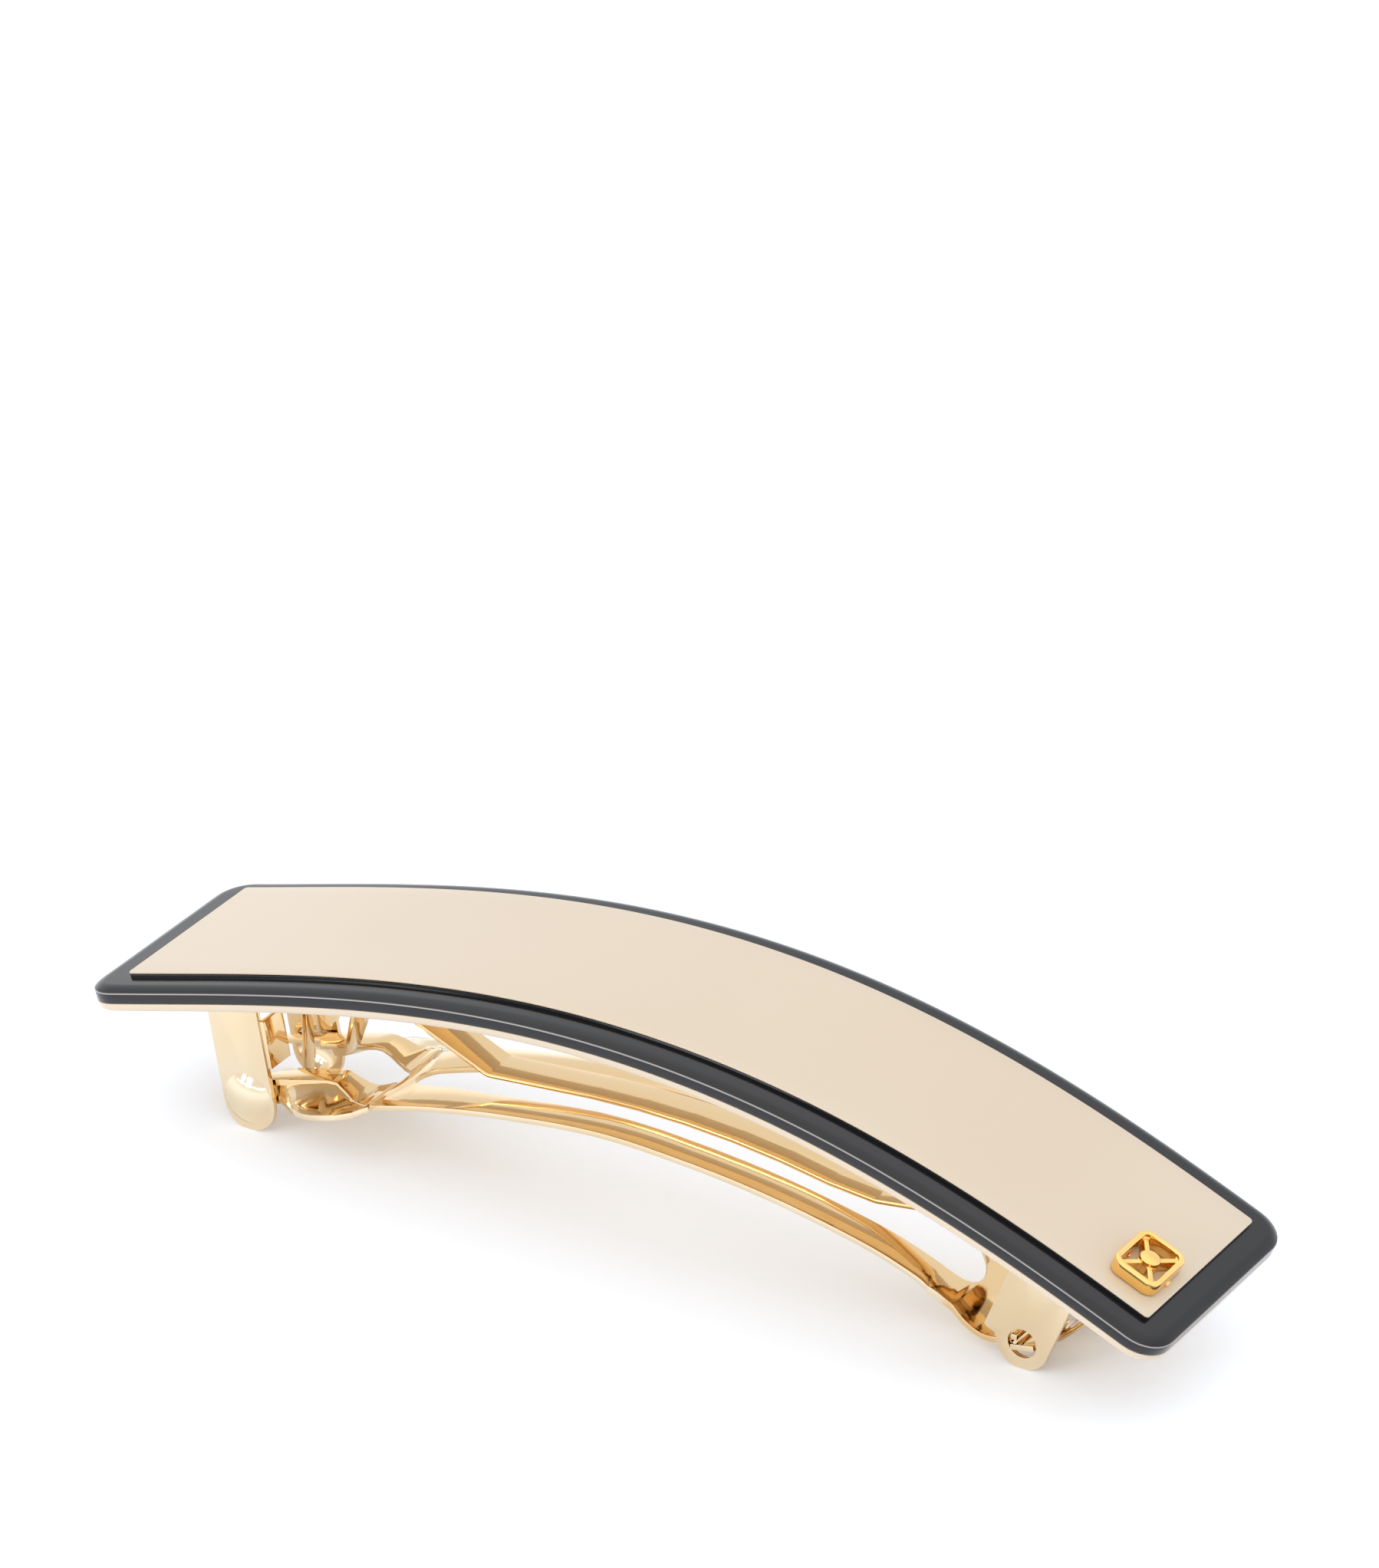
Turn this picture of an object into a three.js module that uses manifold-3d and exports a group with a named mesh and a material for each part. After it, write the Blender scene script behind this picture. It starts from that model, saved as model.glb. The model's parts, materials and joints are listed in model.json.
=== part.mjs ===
// A bow-backed hair barrette: three bonded acetate layers on a sprung metal clip.
// Millimetres, +Z up. +X runs toward the hinged end and +Y toward the far side.
// The tips of the clip's four ears stand on Z = 0, and the origin is under the middle of the object.
//
// Most places are given on the bent side view of the ornament: "along" is the arc distance from the middle
// of the ornament's top face, positive toward the hinge, and "above" is the height over that face, square to it.

import * as THREE from "three";
import { mergeVertices } from "three/addons/utils/BufferGeometryUtils.js";
import Module from "manifold-3d";

const wasm = await Module();
wasm.setup();

// ---- Driving dimensions ----

// Bend of the ornament: its slope in degrees at the middle, then how it grows over bendReach of arc.
const bendReach = 48.5;
const bendSlopes = [0.68, 29.456, 3.405, -10.033];

// Ornament layers, from the top down.
const ornamentLength = 102;
const ornamentWidth = 21.8;
const ornamentCorner = 2.8;
const panelMiddle = 0.4;
const panelLength = 96.2;
const panelWidth = 17;
const panelCorner = 0.35;
const panelThickness = 0.15;
const panelBevel = 0.06;
const plateStep = 0.25;
const plateThickness = 1.25;
const plateWall = 0.85;
const plateShoulder = 1.1;
const plateBreak = 0.1;
const backingThickness = 0.8;
const backingEdge = 0.55;
const backingBreak = 0.1;
const glueLine = 0.05;

// Badge: an open frame with a round stud held by four arms, on two pins.
const badgeStation = 45.5;
const badgeY = -4.1;
const badgeLength = 4.2;
const badgeWidth = 5.4;
const badgeHeight = 1.25;
const badgeBar = 0.48;
const badgeArmHeight = 0.9;
const badgeCorner = 1.0;
const badgeStudRadius = 0.85;
const badgePinRadius = 0.4;
const badgePinDepth = 1.1;
const badgePinSink = 0.2;

// Clip sheet: the base strip and its ears.
const sheet = 0.5;
const clipWidth = 10.5;
const stripStart = -43.6;
const stripEnd = 42;
const stripWaist = 9.4;
const footFlat = 0.08;

// Hinge ears, laid out from the hinge axis.
const hingeStation = 39.7;
const hingeDepth = 12.2;
const hingeEarRadius = 2.3;
const hingeEarLeft = 3.45;
const hingeShoulderDrop = 0.65;
const hingeHoleRadius = 1.25;

// Latch ears: they lean toward the hinge as they go down.
const latchStation = -40.8;
const latchLean = 10.3;
const latchEarRadius = 2.45;
const latchBossRadius = 2.25;
const latchBossHeight = 0.75;
const latchBossRise = 0.4;
const latchRecessWall = 0.45;
const flangeReach = 2.5;
const flangeOffset = 0.35;
const flangeLow = 3.2;
const flangeHigh = 7.4;
const postX = 4.3;
const postWidth = 1.1;
const postClearGround = 2.9;

// Rivets between the strip and the acetate.
const rivetStations = [-15, 15];
const rivetShankRadius = 0.55;
const rivetHeadRadius = 1.2;
const rivetHeadHeight = 0.3;
const rivetBite = 0.5;

// Clasp arm.
const armWidth = 11.2;
const armStart = -28.9;
const armStartLevel = -0.85;
const slotWidth = 5.2;
const slotNose = -24.5;
const slotFull = -15;
const slotEnd = 27.6;
const hingeNotchWidth = 3.9;
const hingeNotchLength = 3.2;
const tabLength = 2;
const tabDrop = 0.33;
const tabTilt = 10.5;

// Latch prongs with their finger wings.
const prongEnd = -44;
const prongTipWidth = 1.3;
const prongWidth = 2.3;
const prongLevel = 1;
const prongRootGap = 0.1;
const prongTravel = 0.5;
const prongLegEnd = -32.8;
const joggleStart = armStart - 1.4;
const joggleLength = 3;
const wingEnd = -40;
const wingReach = 3;
const wingLevel = -0.95;

// Tension spring.
const springSheet = 0.4;
const springWidth = 3.5;
const springBarSize = 0.5;
const springBarPlace = [-0.75, 0.33];
const springBend = 1.1;
const springTongueTip = 1.6;

// Named clearances.
const runningGap = 0.15;
const hingeSideGap = 0.15;
const shankGap = 0.1;
const badgeGap = 0.06;
const pinGap = 0.1;
const tabOverhang = 0.1;

// ---- Worked out from the driving dimensions ----

const DEGREE = Math.PI / 180;
const panelBottom = -panelThickness;
const plateTop = panelBottom - glueLine;
const plateRim = plateTop - plateStep;
const plateBottom = plateRim - plateThickness;
const backingTop = plateBottom - glueLine;
const backingBottom = backingTop - backingThickness;
const stripTop = backingBottom - glueLine;
const stripMiddle = stripTop - sheet / 2;
const stripBottom = stripTop - sheet;
const earOuter = clipWidth / 2;
const earInner = earOuter - sheet;

const hingeAxis = place(hingeStation, -hingeDepth);
const ground = hingeAxis.y - hingeEarRadius + footFlat;
const latchRoot = place(latchStation, stripMiddle);
const latchTipY = ground + latchEarRadius - footFlat;
const latchTipX = latchRoot.x + Math.tan(latchLean * DEGREE) * (latchRoot.y - latchTipY);
const latchTip = new THREE.Vector2(latchTipX, latchTipY);

// ---- The bent side view ----

// Slope of the ornament at an arc distance, in radians, falling toward +X where positive.
function slope(along) {
  const t = along / bendReach;
  return bendSlopes.reduce((sum, value, power) => sum + value * t ** power, 0) * DEGREE;
}

// Side-view point (x, z) at an arc distance along the top face and a height above it.
function place(along, above) {
  const steps = 48;
  const point = new THREE.Vector2();
  for (let i = 0; i < steps; i++) {
    const angle = slope((along * (i + 0.5)) / steps);
    point.x += (Math.cos(angle) * along) / steps;
    point.y -= (Math.sin(angle) * along) / steps;
  }
  const angle = slope(along);
  point.x += above * Math.sin(angle);
  point.y += above * Math.cos(angle);
  return point;
}

// Side-view point whose height counts from the hinge axis, for what hangs low.
function low(along, rise) {
  return place(along, rise - hingeDepth);
}

// Side-view point whose depth counts from the underside of the base strip.
function high(along, drop) {
  return place(along, stripBottom - drop);
}

// ---- Solids ----

function solid(geometry) {
  const bare = new THREE.BufferGeometry();
  bare.setAttribute("position", geometry.getAttribute("position"));
  bare.setIndex(geometry.getIndex());
  const merged = mergeVertices(bare, 1e-4);
  const vertProperties = merged.getAttribute("position").array;
  const triVerts = Uint32Array.from(merged.getIndex().array);
  return new wasm.Manifold(new wasm.Mesh({ numProp: 3, vertProperties, triVerts }));
}

function geometryOf(body) {
  const mesh = body.getMesh();
  const geometry = new THREE.BufferGeometry();
  geometry.setAttribute("position", new THREE.BufferAttribute(mesh.vertProperties, 3));
  geometry.setIndex(new THREE.BufferAttribute(mesh.triVerts, 1));
  geometry.computeVertexNormals();
  return geometry;
}

// Extrudes a side-view shape (x, z) across Y.
function acrossY(shape, width, middle = 0, curveSegments = 10) {
  const geometry = new THREE.ExtrudeGeometry(shape, { depth: width, bevelEnabled: false, curveSegments });
  geometry.rotateX(Math.PI / 2);
  geometry.translate(0, middle + width / 2, 0);
  return solid(geometry);
}

// Extrudes a plan shape (x, y) from one height to another.
function upZ(shape, bottom, top, curveSegments = 10) {
  const depth = top - bottom;
  const geometry = new THREE.ExtrudeGeometry(shape, { depth, bevelEnabled: false, curveSegments });
  geometry.translate(0, 0, bottom);
  return solid(geometry);
}

// A line of points with its corners rounded to a radius, or to what the stretches beside them leave room for.
function bentLine(points, radius) {
  const path = [points[0]];
  for (let i = 1; i < points.length - 1; i++) {
    const back = points[i - 1].clone().sub(points[i]);
    const ahead = points[i + 1].clone().sub(points[i]);
    const turn = Math.PI - Math.abs(back.angleTo(ahead));
    const room = 0.45 * Math.min(back.length(), ahead.length());
    const cut = Math.min(radius * Math.tan(turn / 2), room);
    const start = points[i].clone().addScaledVector(back.normalize(), cut);
    const end = points[i].clone().addScaledVector(ahead.normalize(), cut);
    const steps = Math.max(Math.ceil(turn / (12 * DEGREE)), 1);
    path.push(...new THREE.QuadraticBezierCurve(start, points[i], end).getPoints(steps));
  }
  path.push(points.at(-1));
  return path;
}

// A strip of sheet whose side view follows a line of points.
function ribbonShape(line, thickness) {
  const upper = [];
  const lower = [];
  line.forEach((point, i) => {
    const before = line[Math.max(i - 1, 0)];
    const after = line[Math.min(i + 1, line.length - 1)];
    const along = after.clone().sub(before).normalize();
    const across = new THREE.Vector2(-along.y, along.x).multiplyScalar(thickness / 2);
    upper.push(point.clone().add(across));
    lower.unshift(point.clone().sub(across));
  });
  return new THREE.Shape([...upper, ...lower]);
}

function roundedRectangle(length, width, radius) {
  const x = length / 2 - radius;
  const y = width / 2 - radius;
  const shape = new THREE.Shape();
  shape.absarc(x, y, radius, 0, Math.PI / 2);
  shape.absarc(-x, y, radius, Math.PI / 2, Math.PI);
  shape.absarc(-x, -y, radius, Math.PI, 1.5 * Math.PI);
  shape.absarc(x, -y, radius, 1.5 * Math.PI, 2 * Math.PI);
  return shape;
}

// A round bar square to the ornament, between two heights above its top face.
function uprightBar(radius, along, y, bottom, top, sides = 24) {
  const geometry = new THREE.CylinderGeometry(radius, radius, top - bottom, sides);
  geometry.rotateX(Math.PI / 2);
  geometry.rotateY(slope(along));
  const middle = place(along, (bottom + top) / 2);
  geometry.translate(middle.x, y, middle.y);
  return solid(geometry);
}

// Carries a geometry from local axes on the ornament's top face to its place on the bend.
function seat(geometry, along, y, above) {
  geometry.rotateY(slope(along));
  const point = place(along, above);
  geometry.translate(point.x, y, point.y);
  return solid(geometry);
}

// ---- Ornament layers ----

// Heights and insets of an edge whose foot and shoulder are quarter circles.
function edgeLevels(bottom, top, footRadius, shoulderRadius, steps) {
  const turns = Array.from({ length: steps + 1 }, (_, i) => (i / steps) * (Math.PI / 2));
  const foot = turns.map((turn) => ({
    above: bottom + footRadius * (1 - Math.cos(turn)),
    inset: footRadius * (1 - Math.sin(turn)),
  }));
  const shoulder = turns.map((turn) => ({
    above: top - shoulderRadius * (1 - Math.sin(turn)),
    inset: shoulderRadius * (1 - Math.cos(turn)),
  }));
  return [...foot, ...shoulder];
}

// A bent slab with rounded plan corners, built in columns along its length and levels up its edge.
function bentLayer(length, width, corner, levels, middle = 0) {
  const straight = 32;
  const arc = 4;
  const columns = straight + 2 * arc;
  const rows = levels.length - 1;
  const geometry = new THREE.BoxGeometry(1, 1, 1, columns, 2, rows);
  const position = geometry.getAttribute("position");
  for (let i = 0; i < position.count; i++) {
    const column = Math.round(position.getX(i) * columns);
    const { above, inset } = levels[Math.round((position.getZ(i) + 0.5) * rows)];
    const turned = Math.max(Math.abs(column) - straight / 2, 0) / arc;
    const turn = (turned * Math.PI) / 2;
    const reach = Math.min(Math.abs(column) / (straight / 2), 1) * (length / 2 - corner);
    const along = middle + Math.sign(column) * (reach + (corner - inset) * Math.sin(turn));
    const halfWidth = width / 2 - corner + (corner - inset) * Math.cos(turn);
    const point = place(along, above);
    position.setXYZ(i, point.x, position.getY(i) * 2 * halfWidth, point.y);
  }
  return solid(geometry);
}

function makeTopPanel() {
  const levels = edgeLevels(panelBottom, 0, panelBevel, panelBevel, 1);
  let body = bentLayer(panelLength, panelWidth, panelCorner, levels, panelMiddle);
  for (const pin of badgePins()) body = body.subtract(pin(badgePinRadius + pinGap));
  return body;
}

// Heights and insets of the black plate's edge: an upright wall that meets a long low shoulder at a crisp line.
function plateLevels() {
  const turn = 2 * Math.atan2(plateThickness - plateWall, plateShoulder);
  const radius = plateShoulder / Math.sin(turn);
  const levels = [
    { above: plateBottom, inset: plateBreak },
    { above: plateBottom + plateBreak, inset: 0 },
  ];
  const steps = 4;
  for (let i = 0; i <= steps; i++) {
    const angle = turn * (1 - i / steps);
    const above = plateRim - radius * (1 - Math.cos(angle));
    levels.push({ above, inset: plateShoulder - radius * Math.sin(angle) });
  }
  return levels;
}

// The plate carries a step of its own black stock, on which the thin cream panel lies.
function makeBlackPlate() {
  let body = bentLayer(ornamentLength, ornamentWidth, ornamentCorner, plateLevels());
  const stepLevels = [
    { above: plateBottom + plateThickness / 2, inset: 0 },
    { above: plateTop, inset: 0 },
  ];
  body = body.add(bentLayer(panelLength, panelWidth, panelCorner, stepLevels, panelMiddle));
  for (const pin of badgePins()) body = body.subtract(pin(badgePinRadius + pinGap));
  return body;
}

function makeBackingLayer() {
  const levels = edgeLevels(backingBottom, backingTop, backingEdge, backingBreak, 3);
  let body = bentLayer(ornamentLength, ornamentWidth, ornamentCorner, levels);
  for (const along of rivetStations) {
    const top = stripTop + rivetBite + shankGap;
    body = body.subtract(uprightBar(rivetShankRadius + shankGap, along, 0, stripMiddle, top));
  }
  return body;
}

// ---- Badge ----

// The two pins under the badge, each as a function of its radius, so that a hole follows its pin.
function badgePins() {
  const offset = (badgeLength - badgeBar) / 2;
  const top = badgeGap + badgePinSink;
  return [-1, 1].map((side) => (radius) => {
    const bottom = -badgePinDepth - (radius - badgePinRadius);
    return uprightBar(radius, badgeStation + side * offset, badgeY, bottom, top, 16);
  });
}

function makeBadge() {
  const frame = roundedRectangle(badgeLength, badgeWidth, badgeCorner);
  const innerLength = badgeLength - 2 * badgeBar;
  const innerWidth = badgeWidth - 2 * badgeBar;
  frame.holes.push(roundedRectangle(innerLength, innerWidth, badgeCorner - badgeBar));
  const options = { depth: badgeHeight, bevelEnabled: false, curveSegments: 5 };
  let body = seat(new THREE.ExtrudeGeometry(frame, options), badgeStation, badgeY, badgeGap);
  const stud = new THREE.CylinderGeometry(badgeStudRadius, badgeStudRadius, badgeHeight, 24);
  stud.rotateX(Math.PI / 2);
  stud.translate(0, 0, badgeHeight / 2);
  body = body.add(seat(stud, badgeStation, badgeY, badgeGap));
  const diagonal = Math.hypot(innerLength, innerWidth);
  const lean = Math.atan2(innerWidth, innerLength);
  for (const turn of [lean, -lean]) {
    const arm = new THREE.BoxGeometry(diagonal, badgeBar, badgeArmHeight);
    arm.translate(0, 0, badgeArmHeight / 2);
    arm.rotateZ(turn);
    body = body.add(seat(arm, badgeStation, badgeY, badgeGap));
  }
  for (const pin of badgePins()) body = body.add(pin(badgePinRadius));
  return body;
}

// ---- Base strip ----

// Everything above the middle of the strip, for trimming what hangs from it.
function aboveStrip() {
  const count = 36;
  const under = [];
  const over = [];
  for (let i = 0; i <= count; i++) {
    const along = stripStart - 4 + ((stripEnd - stripStart + 8) * i) / count;
    under.push(place(along, stripMiddle));
    over.unshift(place(along, stripMiddle + hingeDepth));
  }
  return acrossY(new THREE.Shape([...under, ...over]), clipWidth + 2);
}

// Moves a side-view shape's solid from local axes to a point, turned by an angle that lifts its +X end.
function hang(body, point, angle) {
  return body.rotate([0, -angle / DEGREE, 0]).translate([point.x, 0, point.y]);
}

function makeHingeEar(middle) {
  const top = hingeDepth;
  const cheek = Math.asin(hingeShoulderDrop / hingeEarRadius);
  const shape = new THREE.Shape();
  shape.moveTo(-hingeEarLeft, top);
  shape.lineTo(-hingeEarLeft, -hingeShoulderDrop / 2);
  shape.quadraticCurveTo(-hingeEarLeft, -hingeShoulderDrop, -hingeEarLeft + sheet, -hingeShoulderDrop);
  shape.lineTo(-hingeEarRadius * Math.cos(cheek), -hingeShoulderDrop);
  shape.absarc(0, 0, hingeEarRadius, Math.PI + cheek, 2 * Math.PI);
  shape.lineTo(hingeEarRadius, top);
  const hole = new THREE.Path();
  hole.absarc(0, 0, hingeHoleRadius, 0, 2 * Math.PI, true);
  shape.holes.push(hole);
  return hang(acrossY(shape, sheet, middle), hingeAxis, -slope(hingeStation));
}

// Cap of a sphere on the Y axis, for the boss on an ear's face and the recess behind it.
function sphereCap(footRadius, height, sink) {
  const radius = (footRadius ** 2 + height ** 2) / (2 * height);
  const spread = Math.asin(footRadius / radius);
  const steps = 6;
  const points = [new THREE.Vector2(0, -sink), new THREE.Vector2(footRadius, -sink)];
  for (let i = 0; i <= steps; i++) {
    const turn = spread * (1 - i / steps);
    const up = height - radius * (1 - Math.cos(turn));
    points.push(new THREE.Vector2(i === steps ? 0 : radius * Math.sin(turn), up));
  }
  return solid(new THREE.LatheGeometry(points, 28));
}

function makeLatchEar(side) {
  const middle = side * (earOuter - sheet / 2);
  const top = latchRoot.y - latchTip.y + 2 * latchEarRadius;
  const shape = new THREE.Shape();
  shape.moveTo(-latchEarRadius, top);
  shape.lineTo(-latchEarRadius, 0);
  shape.absarc(0, 0, latchEarRadius, Math.PI, 2 * Math.PI);
  shape.lineTo(latchEarRadius, top);
  let ear = acrossY(shape, sheet, middle);

  const turnOut = side > 0 ? 0 : 180;
  const boss = sphereCap(latchBossRadius, latchBossHeight, sheet / 2);
  ear = ear.add(boss.rotate([turnOut, 0, 0]).translate([0, side * earOuter, latchBossRise]));
  const recessFoot = latchBossRadius - latchRecessWall / 2;
  const recess = sphereCap(recessFoot, latchBossHeight + sheet - latchRecessWall, sheet);
  ear = ear.subtract(recess.rotate([turnOut, 0, 0]).translate([0, side * earInner, latchBossRise]));

  const flange = new THREE.Shape();
  flange.moveTo(side * (earInner + sheet / 2), flangeLow);
  flange.lineTo(side * (earInner + sheet / 2), flangeHigh);
  flange.lineTo(side * (earInner - flangeReach), flangeHigh);
  flange.lineTo(side * (earInner - flangeReach), flangeLow);
  const plate = new THREE.ExtrudeGeometry(flange, { depth: sheet, bevelEnabled: false });
  plate.applyMatrix4(endViewAxes());
  plate.translate(latchEarRadius - sheet + flangeOffset, 0, 0);
  ear = ear.add(solid(plate));
  return hang(ear, latchTip, latchLean * DEGREE);
}

// Turns a shape drawn in (y, z) and extruded along Z so that it is extruded along X.
function endViewAxes() {
  const x = new THREE.Vector3(1, 0, 0);
  const y = new THREE.Vector3(0, 1, 0);
  const z = new THREE.Vector3(0, 0, 1);
  return new THREE.Matrix4().makeBasis(y, z, x);
}

function makeBaseStrip() {
  const count = 36;
  const line = [];
  for (let i = 0; i <= count; i++) {
    line.push(place(stripStart + ((stripEnd - stripStart) * i) / count, stripMiddle));
  }
  let strip = acrossY(ribbonShape(line, sheet), clipWidth);

  const waistStart = place(latchStation + 2 * latchEarRadius, 0).x;
  const waistEnd = place(hingeStation - 2 * hingeEarRadius, 0).x;
  const waistTaper = 4;
  const cut = (clipWidth - stripWaist) / 2;
  for (const side of [-1, 1]) {
    const notch = new THREE.Shape();
    notch.moveTo(waistStart, side * (earOuter + 1));
    notch.lineTo(waistStart, side * earOuter);
    notch.lineTo(waistStart + waistTaper, side * (earOuter - cut));
    notch.lineTo(waistEnd - waistTaper, side * (earOuter - cut));
    notch.lineTo(waistEnd, side * earOuter);
    notch.lineTo(waistEnd, side * (earOuter + 1));
    strip = strip.subtract(upZ(notch, ground, ornamentWidth));
  }
  for (const along of rivetStations) {
    const hole = uprightBar(rivetShankRadius + shankGap, along, 0, stripBottom - sheet, stripTop + sheet);
    strip = strip.subtract(hole);
  }

  const postLeft = latchTip.x + postX - latchEarRadius + sheet;
  const postFoot = ground + postClearGround;
  const post = new THREE.BoxGeometry(sheet, postWidth, hingeDepth);
  post.translate(postLeft, 0, postFoot + hingeDepth / 2);
  let hanging = solid(post);
  for (const side of [-1, 1]) {
    hanging = hanging.add(makeHingeEar(side * (earOuter - sheet / 2)));
    hanging = hanging.add(makeLatchEar(side));
  }
  const floor = new THREE.BoxGeometry(3 * ornamentLength, ornamentWidth, 1);
  floor.translate(0, 0, ground - 0.5);
  return strip.add(hanging.subtract(aboveStrip())).subtract(solid(floor));
}

function makeRivet(along) {
  const headTop = stripBottom - glueLine;
  const shank = uprightBar(rivetShankRadius, along, 0, headTop - rivetHeadHeight / 2, stripTop + rivetBite, 20);
  const head = uprightBar(rivetHeadRadius, along, 0, headTop - rivetHeadHeight, headTop, 28);
  return head.add(shank);
}

// ---- Clasp arm ----

// Middle of the arm's sheet in side view, from the fork's root to the ends of the hinge tabs.
function armLine() {
  const tab = new THREE.Vector2(Math.cos(tabTilt * DEGREE), Math.sin(tabTilt * DEGREE));
  const tabMiddle = hingeAxis.clone().add(new THREE.Vector2(tab.y, -tab.x).multiplyScalar(tabDrop));
  const points = [
    low(armStart, armStartLevel),
    low(-22.8, -0.55),
    low(-14.6, -0.35),
    low(-5, -0.1),
    low(3.7, -0.2),
    low(13.4, -0.15),
    low(23, 0),
    low(28, -0.1),
    low(30.2, -0.4),
    low(32.2, -1.3),
    low(34.2, -2.1),
    low(36.2, -2.2),
    tabMiddle.clone().addScaledVector(tab, -tabLength / 2 - 0.8),
    tabMiddle.clone(),
    tabMiddle.clone().addScaledVector(tab, tabLength / 2),
  ];
  return new THREE.SplineCurve(points).getPoints(5 * (points.length - 1));
}

function makeClaspArm() {
  let arm = acrossY(ribbonShape(armLine(), sheet), clipWidth + 2);

  const start = low(armStart, 0).x;
  const half = armWidth / 2;
  const lug = earInner - hingeSideGap;
  const narrowFrom = low(30.5, -1).x;
  const narrowTo = low(32.5, -1).x;
  const tabStart = hingeAxis.x - tabLength / 2;
  const tabEnd = hingeAxis.x + tabLength / 2 + sheet;
  const outline = new THREE.Shape();
  const edge = [
    [start, half],
    [narrowFrom, half],
    [narrowTo, lug],
    [tabStart, lug],
    [tabStart, earOuter + tabOverhang],
    [tabEnd, earOuter + tabOverhang],
  ];
  outline.setFromPoints([
    ...edge.map(([x, y]) => new THREE.Vector2(x, -y)),
    ...edge.reverse().map(([x, y]) => new THREE.Vector2(x, y)),
  ]);
  arm = arm.intersect(upZ(outline, 2 * ground, ornamentWidth));

  const slot = new THREE.Shape();
  const slotHalf = slotWidth / 2;
  const noseRadius = slotHalf * 0.6;
  slot.absarc(slotNose + noseRadius, 0, noseRadius, Math.PI / 2, 1.5 * Math.PI);
  slot.lineTo(slotFull, -slotHalf);
  slot.absarc(slotEnd - slotHalf, 0, slotHalf, -Math.PI / 2, Math.PI / 2);
  slot.lineTo(slotFull, slotHalf);
  arm = arm.subtract(upZ(slot, 2 * ground, ornamentWidth));

  const notch = new THREE.Shape();
  const notchStart = hingeAxis.x - hingeNotchLength;
  const notchHalf = hingeNotchWidth / 2;
  notch.moveTo(tabEnd + 1, notchHalf);
  notch.lineTo(notchStart + notchHalf / 2, notchHalf);
  notch.absarc(notchStart + notchHalf / 2, notchHalf / 2, notchHalf / 2, Math.PI / 2, Math.PI);
  notch.absarc(notchStart + notchHalf / 2, -notchHalf / 2, notchHalf / 2, Math.PI, 1.5 * Math.PI);
  notch.lineTo(tabEnd + 1, -notchHalf);
  return arm.subtract(upZ(notch, 2 * ground, ornamentWidth));
}

// ---- Latch prongs ----

// Height of a prong's middle over the hinge axis's level: it joggles up from the arm to the latch's level.
function prongRise(along) {
  const t = THREE.MathUtils.clamp((joggleStart - along) / joggleLength, 0, 1);
  return THREE.MathUtils.lerp(armStartLevel, prongLevel - sheet / 2, t * t * (3 - 2 * t));
}

// A prong on one side: a flat finger beside the ear, and a dished wing that flares out and down from it.
function makeProng(side) {
  const outer = earInner - runningGap;
  const count = 20;
  const line = [];
  for (let i = 0; i <= count; i++) {
    const along = prongEnd + ((armStart - prongRootGap - prongEnd) * i) / count;
    line.push(low(along, prongRise(along)));
  }
  const finger = acrossY(ribbonShape(line, sheet), armWidth + 2);
  const tipX = low(prongEnd, prongLevel).x;
  const rootX = low(armStart, 0).x - prongRootGap;
  const legX = low(prongLegEnd, 0).x;
  const waistX = latchTip.x + latchEarRadius - sheet;
  const inner = outer - prongWidth;
  const tipInner = outer - prongTipWidth;
  const rootInner = prongTravel + 0.5;
  const round = 0.7;
  const outline = new THREE.Shape();
  outline.moveTo(rootX, side * rootInner);
  outline.lineTo(rootX, (side * armWidth) / 2);
  outline.lineTo(legX, side * outer);
  outline.lineTo(tipX + round, side * outer);
  outline.lineTo(tipX, side * (outer - round));
  outline.lineTo(tipX, side * tipInner);
  outline.lineTo(waistX - round, side * tipInner);
  outline.lineTo(waistX, side * inner);
  outline.lineTo(legX, side * inner);
  outline.quadraticCurveTo(rootX - 2 * round, side * inner, rootX, side * rootInner);
  const prong = finger.intersect(upZ(outline, 2 * ground, ornamentWidth));
  return prong.add(makeWing(side, outer));
}

function makeWing(side, outer) {
  const lengthSteps = 12;
  const acrossSteps = 4;
  const geometry = new THREE.BoxGeometry(1, 1, 1, lengthSteps, acrossSteps, 1);
  const position = geometry.getAttribute("position");
  const start = armStart - prongRootGap - 0.1;
  for (let i = 0; i < position.count; i++) {
    const u = 0.5 - position.getX(i);
    const v = 0.5 + position.getY(i) * side;
    const along = THREE.MathUtils.lerp(start, wingEnd, u);
    const blend = THREE.MathUtils.smoothstep(u, 0, 0.35);
    const rootY = THREE.MathUtils.lerp(armWidth / 2, outer, blend) - 0.35;
    const swell = Math.sin(Math.PI * Math.min(u / 0.88, 1) ** 0.85) ** 0.85;
    const rimY = THREE.MathUtils.lerp(armWidth / 2, outer, blend) + wingReach * swell;
    const dish = 0.35 * Math.sin(Math.PI * v) * Math.sin(Math.PI * u);
    const rise = THREE.MathUtils.lerp(prongRise(along), wingLevel, v ** 1.2) - dish;
    const point = low(along, rise + position.getZ(i) * sheet);
    position.setXYZ(i, point.x, side * THREE.MathUtils.lerp(rootY, rimY, v), point.y);
  }
  return solid(geometry);
}

// ---- Tension spring ----

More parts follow.
